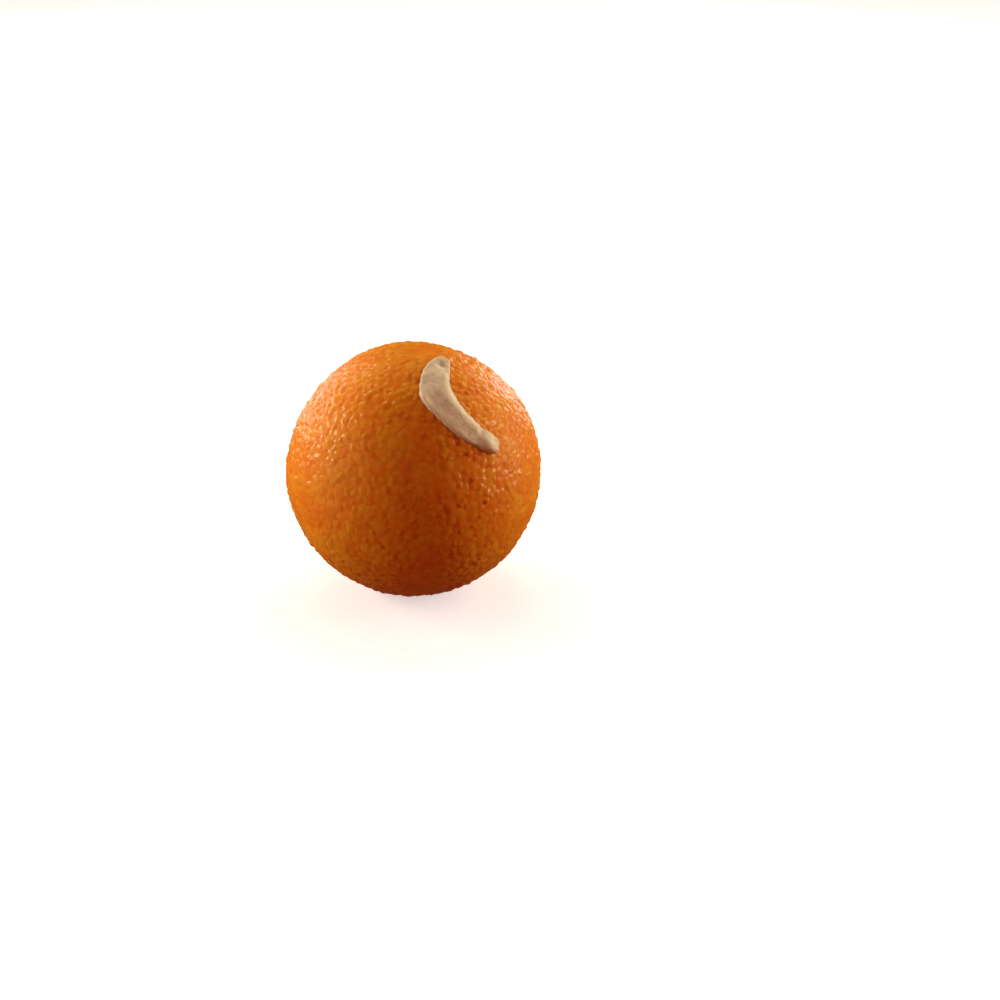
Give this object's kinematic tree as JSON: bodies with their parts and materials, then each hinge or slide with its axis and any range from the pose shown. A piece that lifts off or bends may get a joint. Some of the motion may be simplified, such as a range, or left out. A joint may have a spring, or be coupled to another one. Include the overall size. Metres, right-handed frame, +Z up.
{
  "type": "boondi ladoo",
  "caption": "Ball-shaped sweet of small syrupy fried gram-flour pearls pressed together by hand, with a split cashew set in its upper side.",
  "frame": {"origin": "middle of the small flat spot that the ladoo rests on", "axes": "+Z up, -Y towards the viewer; the cashew lies on the upper side towards -Y and +X"},
  "size_m": [0.0543, 0.0538, 0.0526],
  "materials": {
    "boondi": "syrup-glazed, moist, deep orange",
    "cashew": "satin, cream"
  },
  "bodies": {
    "root": {"boondi_ball": "boondi", "split_cashew": "cashew"}
  },
  "joints": []
}
